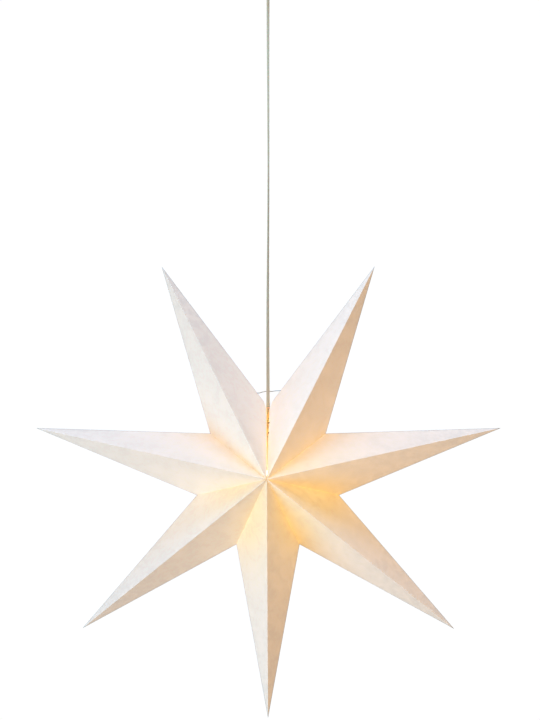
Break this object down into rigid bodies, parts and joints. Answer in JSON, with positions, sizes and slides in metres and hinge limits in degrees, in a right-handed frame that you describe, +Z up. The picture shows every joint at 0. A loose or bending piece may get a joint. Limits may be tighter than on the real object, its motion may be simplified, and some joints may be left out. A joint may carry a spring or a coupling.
{
  "type": "paper star lantern",
  "caption": "Hanging star lantern of folded white paper, lit from inside by a bulb, on a flat cord with a ceiling fitting; its points fold together like a fan.",
  "frame": {"origin": "centre of the ceiling bracket's top face, where it meets the ceiling", "axes": "+Z up; the front of the star faces -Y; the cord hangs down -Z and the star lies across X"},
  "size_m": [0.732, 0.1982, 1.2144],
  "materials": {
    "paper": "matte",
    "cord": "satin",
    "steel": "satin",
    "brass": "satin",
    "white_plastic": "satin",
    "ceramic": "matte",
    "opal_glass": "gloss",
    "black_glass": "gloss"
  },
  "bodies": {
    "ceiling": {"ceiling_bracket": "steel", "ceiling_cup": "white_plastic", "cup_screw_right": "steel", "cup_screw_left": "steel", "ceiling_hook": "steel", "hook_nut": "steel"},
    "link": {"hanging_link": "steel"},
    "grip": {"cord_grip": "white_plastic"},
    "pendant": {"cord": "cord", "holder_cap": "white_plastic", "holder_shell": "white_plastic", "holder_insert": "ceramic", "holder_sleeve": "brass", "hanger_wire": "steel"},
    "bulb": {"bulb_glass": "opal_glass", "bulb_screw": "brass", "bulb_insulator": "black_glass", "bulb_contact": "steel"},
    "bottom_front_right": {"bottom_front_right": "paper"},
    "bottom_back_right": {"bottom_back_right": "paper"},
    "low_right_front_lower": {"low_right_front_lower": "paper"},
    "low_right_back_lower": {"low_right_back_lower": "paper"},
    "low_right_front_upper": {"low_right_front_upper": "paper"},
    "low_right_back_upper": {"low_right_back_upper": "paper"},
    "mid_right_front_lower": {"mid_right_front_lower": "paper"},
    "mid_right_back_lower": {"mid_right_back_lower": "paper"},
    "mid_right_front_upper": {"mid_right_front_upper": "paper"},
    "mid_right_back_upper": {"mid_right_back_upper": "paper"},
    "top_right_front_lower": {"top_right_front_lower": "paper"},
    "top_right_back_lower": {"top_right_back_lower": "paper"},
    "top_right_front_upper": {"top_right_front_upper": "paper", "seam_stud_1": "brass", "seam_stud_2": "brass"},
    "top_right_back_upper": {"top_right_back_upper": "paper"},
    "bottom_front_left": {"bottom_front_left": "paper"},
    "bottom_back_left": {"bottom_back_left": "paper"},
    "low_left_front_lower": {"low_left_front_lower": "paper"},
    "low_left_back_lower": {"low_left_back_lower": "paper"},
    "low_left_front_upper": {"low_left_front_upper": "paper"},
    "low_left_back_upper": {"low_left_back_upper": "paper"},
    "mid_left_front_lower": {"mid_left_front_lower": "paper"},
    "mid_left_back_lower": {"mid_left_back_lower": "paper"},
    "mid_left_front_upper": {"mid_left_front_upper": "paper"},
    "mid_left_back_upper": {"mid_left_back_upper": "paper"},
    "top_left_front_lower": {"top_left_front_lower": "paper"},
    "top_left_back_lower": {"top_left_back_lower": "paper"},
    "top_left_front_upper": {"top_left_front_upper": "paper"},
    "top_left_back_upper": {"top_left_back_upper": "paper"}
  },
  "joints": [
    {"name": "swing_side", "type": "hinge", "parent": "ceiling", "child": "link", "pos_m": [0, 0, -0.029], "axis": [0, 1, 0], "range_deg": [-10, 10]},
    {"name": "swing_front", "type": "hinge", "parent": "link", "child": "grip", "pos_m": [0, 0, -0.0432], "axis": [1, 0, 0], "range_deg": [-10, 10]},
    {"name": "turn", "type": "hinge", "parent": "grip", "child": "pendant", "pos_m": [0, 0, -0.0632], "axis": [0, 0, 1], "range_deg": [-180, 180]},
    {"name": "bulb_out", "type": "slide", "parent": "pendant", "child": "bulb", "axis": [0, 0, -1], "range_m": [0, 0.026]},
    {"name": "fold", "type": "hinge", "parent": "pendant", "child": "bottom_front_right", "pos_m": [0, -0.1, -0.84], "axis": [0, -0.2577, 0.9662], "range_deg": [0, 30.7]},
    {"name": "bottom_outline_right", "type": "hinge", "parent": "bottom_front_right", "child": "bottom_back_right", "pos_m": [0.04959, 0, -0.94376], "axis": [-0.1798, 0, -0.9837], "range_deg": [0, 59.15]},
    {"name": "bottom_right_valley", "type": "hinge", "parent": "bottom_front_right", "child": "low_right_front_lower", "pos_m": [0, -0.1, -0.84], "axis": [0.3254, 0.6562, -0.6809], "range_deg": [0, 81.19]},
    {"name": "low_right_outline_lower", "type": "hinge", "parent": "low_right_front_lower", "child": "low_right_back_lower", "pos_m": [0.04959, 0, -0.94376], "axis": [-0.8784, 0, 0.478], "range_deg": [0, 59.15]},
    {"name": "low_right_ridge", "type": "hinge", "parent": "low_right_front_lower", "child": "low_right_front_upper", "pos_m": [0, -0.1, -0.84], "axis": [-0.7518, -0.2577, 0.6069], "range_deg": [0, 61.41]},
    {"name": "low_right_outline_upper", "type": "hinge", "parent": "low_right_front_upper", "child": "low_right_back_upper", "pos_m": [0.11188, 0, -0.8666], "axis": [0.6524, 0, -0.7578], "range_deg": [0, 59.15]},
    {"name": "low_right_valley", "type": "hinge", "parent": "low_right_front_upper", "child": "mid_right_front_lower", "pos_m": [0, -0.1, -0.84], "axis": [0.7341, 0.6562, -0.1745], "range_deg": [0, 81.19]},
    {"name": "mid_right_outline_lower", "type": "hinge", "parent": "mid_right_front_lower", "child": "mid_right_back_lower", "pos_m": [0.11188, 0, -0.8666], "axis": [-0.9237, 0, -0.3832], "range_deg": [0, 59.15]},
    {"name": "mid_right_ridge", "type": "hinge", "parent": "mid_right_front_lower", "child": "mid_right_front_upper", "pos_m": [0, -0.1, -0.84], "axis": [-0.9445, -0.2577, -0.2037], "range_deg": [0, 61.41]},
    {"name": "mid_right_outline_upper", "type": "hinge", "parent": "mid_right_front_upper", "child": "mid_right_back_upper", "pos_m": [0.09097, 0, -0.76965], "axis": [0.9995, 0, 0.0316], "range_deg": [0, 59.15]},
    {"name": "mid_right_valley", "type": "hinge", "parent": "mid_right_front_upper", "child": "top_right_front_lower", "pos_m": [0, -0.1, -0.84], "axis": [0.5969, 0.6562, 0.4616], "range_deg": [0, 81.19]},
    {"name": "top_right_outline_lower", "type": "hinge", "parent": "top_right_front_lower", "child": "top_right_back_lower", "pos_m": [0.09097, 0, -0.76965], "axis": [-0.2821, 0, -0.9594], "range_deg": [0, 59.15]},
    {"name": "top_right_ridge", "type": "hinge", "parent": "top_right_front_lower", "child": "top_right_front_upper", "pos_m": [0, -0.1, -0.84], "axis": [-0.4348, -0.2577, -0.8629], "range_deg": [0, 61.41]},
    {"name": "top_right_outline_upper", "type": "hinge", "parent": "top_right_front_upper", "child": "top_right_back_upper", "pos_m": [0.00241, 0, -0.72503], "axis": [0.6032, 0, 0.7976], "range_deg": [0, 59.15]},
    {"name": "fold_left", "type": "hinge", "parent": "pendant", "child": "bottom_front_left", "pos_m": [0, -0.1, -0.84], "axis": [0, 0.2577, -0.9662], "range_deg": [0, 30.7]},
    {"name": "bottom_outline_left", "type": "hinge", "parent": "bottom_front_left", "child": "bottom_back_left", "pos_m": [-0.04959, 0, -0.94376], "axis": [-0.1798, 0, 0.9837], "range_deg": [0, 59.15]},
    {"name": "bottom_left_valley", "type": "hinge", "parent": "bottom_front_left", "child": "low_left_front_lower", "pos_m": [0, -0.1, -0.84], "axis": [0.3254, -0.6562, 0.6809], "range_deg": [0, 81.19]},
    {"name": "low_left_outline_lower", "type": "hinge", "parent": "low_left_front_lower", "child": "low_left_back_lower", "pos_m": [-0.04959, 0, -0.94376], "axis": [-0.8784, 0, -0.478], "range_deg": [0, 59.15]},
    {"name": "low_left_ridge", "type": "hinge", "parent": "low_left_front_lower", "child": "low_left_front_upper", "pos_m": [0, -0.1, -0.84], "axis": [-0.7518, 0.2577, -0.6069], "range_deg": [0, 61.41]},
    {"name": "low_left_outline_upper", "type": "hinge", "parent": "low_left_front_upper", "child": "low_left_back_upper", "pos_m": [-0.11188, 0, -0.8666], "axis": [0.6524, 0, 0.7578], "range_deg": [0, 59.15]},
    {"name": "low_left_valley", "type": "hinge", "parent": "low_left_front_upper", "child": "mid_left_front_lower", "pos_m": [0, -0.1, -0.84], "axis": [0.7341, -0.6562, 0.1745], "range_deg": [0, 81.19]},
    {"name": "mid_left_outline_lower", "type": "hinge", "parent": "mid_left_front_lower", "child": "mid_left_back_lower", "pos_m": [-0.11188, 0, -0.8666], "axis": [-0.9237, 0, 0.3832], "range_deg": [0, 59.15]},
    {"name": "mid_left_ridge", "type": "hinge", "parent": "mid_left_front_lower", "child": "mid_left_front_upper", "pos_m": [0, -0.1, -0.84], "axis": [-0.9445, 0.2577, 0.2037], "range_deg": [0, 61.41]},
    {"name": "mid_left_outline_upper", "type": "hinge", "parent": "mid_left_front_upper", "child": "mid_left_back_upper", "pos_m": [-0.09097, 0, -0.76965], "axis": [0.9995, 0, -0.0316], "range_deg": [0, 59.15]},
    {"name": "mid_left_valley", "type": "hinge", "parent": "mid_left_front_upper", "child": "top_left_front_lower", "pos_m": [0, -0.1, -0.84], "axis": [0.5969, -0.6562, -0.4616], "range_deg": [0, 81.19]},
    {"name": "top_left_outline_lower", "type": "hinge", "parent": "top_left_front_lower", "child": "top_left_back_lower", "pos_m": [-0.09097, 0, -0.76965], "axis": [-0.2821, 0, 0.9594], "range_deg": [0, 59.15]},
    {"name": "top_left_ridge", "type": "hinge", "parent": "top_left_front_lower", "child": "top_left_front_upper", "pos_m": [0, -0.1, -0.84], "axis": [-0.4348, 0.2577, 0.8629], "range_deg": [0, 61.41]},
    {"name": "top_left_outline_upper", "type": "hinge", "parent": "top_left_front_upper", "child": "top_left_back_upper", "pos_m": [-0.00241, 0, -0.72503], "axis": [0.6032, 0, -0.7976], "range_deg": [0, 59.15]}
  ],
  "couplings": [
    {"joint": "bottom_outline_right", "follows": "fold", "ratio": 1.9263},
    {"joint": "bottom_right_valley", "follows": "fold", "ratio": 2.6442},
    {"joint": "low_right_outline_lower", "follows": "fold", "ratio": 1.9263},
    {"joint": "low_right_ridge", "follows": "fold", "ratio": 2},
    {"joint": "low_right_outline_upper", "follows": "fold", "ratio": 1.9263},
    {"joint": "low_right_valley", "follows": "fold", "ratio": 2.6442},
    {"joint": "mid_right_outline_lower", "follows": "fold", "ratio": 1.9263},
    {"joint": "mid_right_ridge", "follows": "fold", "ratio": 2},
    {"joint": "mid_right_outline_upper", "follows": "fold", "ratio": 1.9263},
    {"joint": "mid_right_valley", "follows": "fold", "ratio": 2.6442},
    {"joint": "top_right_outline_lower", "follows": "fold", "ratio": 1.9263},
    {"joint": "top_right_ridge", "follows": "fold", "ratio": 2},
    {"joint": "top_right_outline_upper", "follows": "fold", "ratio": 1.9263},
    {"joint": "fold_left", "follows": "fold", "ratio": 1},
    {"joint": "bottom_outline_left", "follows": "fold", "ratio": 1.9263},
    {"joint": "bottom_left_valley", "follows": "fold", "ratio": 2.6442},
    {"joint": "low_left_outline_lower", "follows": "fold", "ratio": 1.9263},
    {"joint": "low_left_ridge", "follows": "fold", "ratio": 2},
    {"joint": "low_left_outline_upper", "follows": "fold", "ratio": 1.9263},
    {"joint": "low_left_valley", "follows": "fold", "ratio": 2.6442},
    {"joint": "mid_left_outline_lower", "follows": "fold", "ratio": 1.9263},
    {"joint": "mid_left_ridge", "follows": "fold", "ratio": 2},
    {"joint": "mid_left_outline_upper", "follows": "fold", "ratio": 1.9263},
    {"joint": "mid_left_valley", "follows": "fold", "ratio": 2.6442},
    {"joint": "top_left_outline_lower", "follows": "fold", "ratio": 1.9263},
    {"joint": "top_left_ridge", "follows": "fold", "ratio": 2},
    {"joint": "top_left_outline_upper", "follows": "fold", "ratio": 1.9263}
  ]
}
